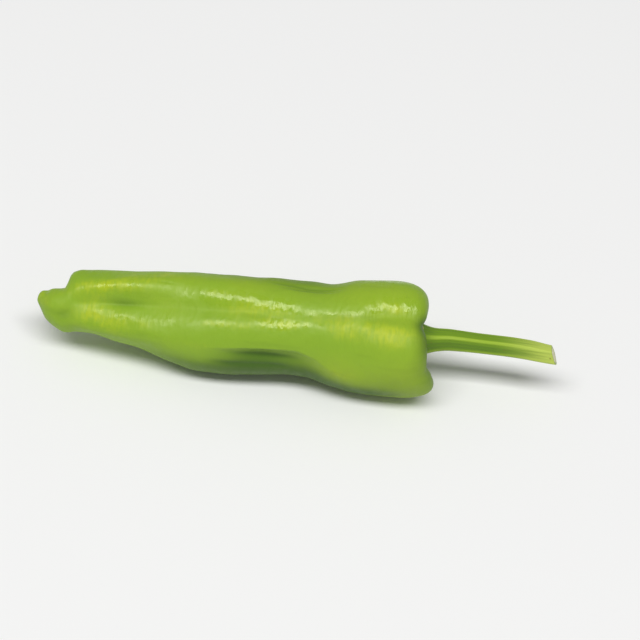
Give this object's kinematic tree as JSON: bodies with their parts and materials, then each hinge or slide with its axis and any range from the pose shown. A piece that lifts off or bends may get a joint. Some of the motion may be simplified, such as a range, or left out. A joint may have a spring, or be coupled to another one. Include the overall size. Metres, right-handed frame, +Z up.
{
  "type": "village pepper",
  "caption": "Long light-green pepper with uneven furrowed lobes, a toothed calyx and a ribbed, slant-cut stem, lying on its side.",
  "frame": {"origin": "on the surface that the pepper lies on, under the middle of its whole box, stem included", "axes": "+X from the tip towards the stem, +Z up, -Y towards the front that leans up from the surface"},
  "size_m": [0.199, 0.0438, 0.0415],
  "materials": {
    "pod_skin": "waxy, smooth light-green skin with yellow-green ridges",
    "calyx_leaf": "dull olive green, brown at the teeth",
    "stem_bark": "satin green, ribbed along its length, pale at the cut"
  },
  "bodies": {
    "root": {"pod": "pod_skin", "calyx": "calyx_leaf", "stem": "stem_bark"}
  },
  "joints": []
}
